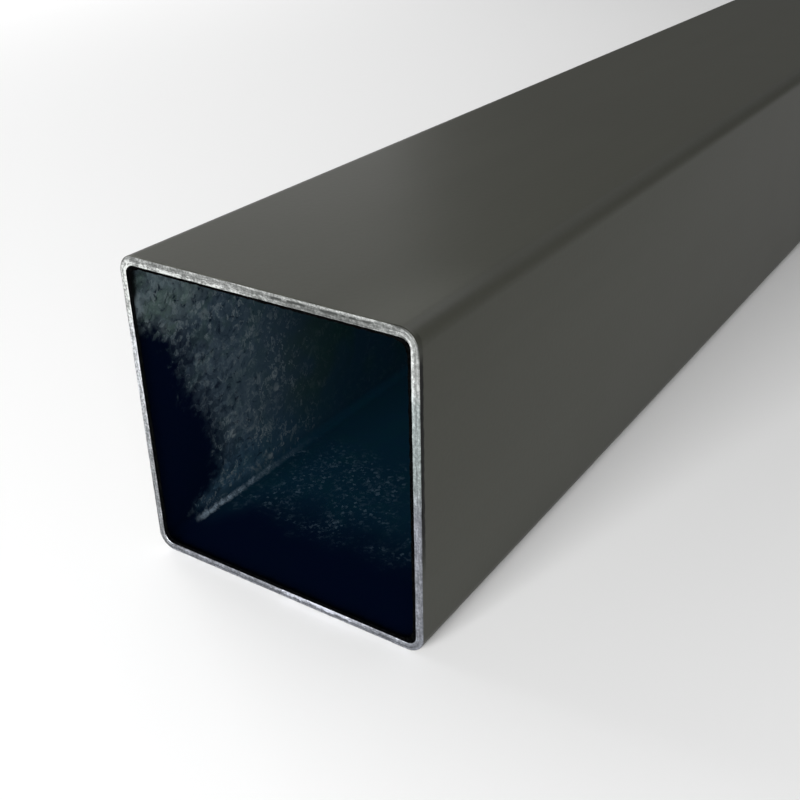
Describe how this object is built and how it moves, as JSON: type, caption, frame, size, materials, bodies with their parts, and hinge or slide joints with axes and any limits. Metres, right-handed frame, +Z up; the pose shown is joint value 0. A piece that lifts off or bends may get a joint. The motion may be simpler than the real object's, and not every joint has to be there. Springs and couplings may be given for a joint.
{
  "type": "square metal tube",
  "caption": "Straight square steel hollow section with rounded corners, open right through, dark grey outside, with bare square-sawn ends.",
  "frame": {"origin": "middle of the underside, on the floor that the tube lies on", "axes": "+X along the tube, +Y across it, +Z up; the end at -X is the one that the picture shows"},
  "size_m": [1, 0.08, 0.08],
  "materials": {
    "coated_steel": "satin"
  },
  "bodies": {
    "root": {"square_tube": "coated_steel"}
  },
  "joints": []
}
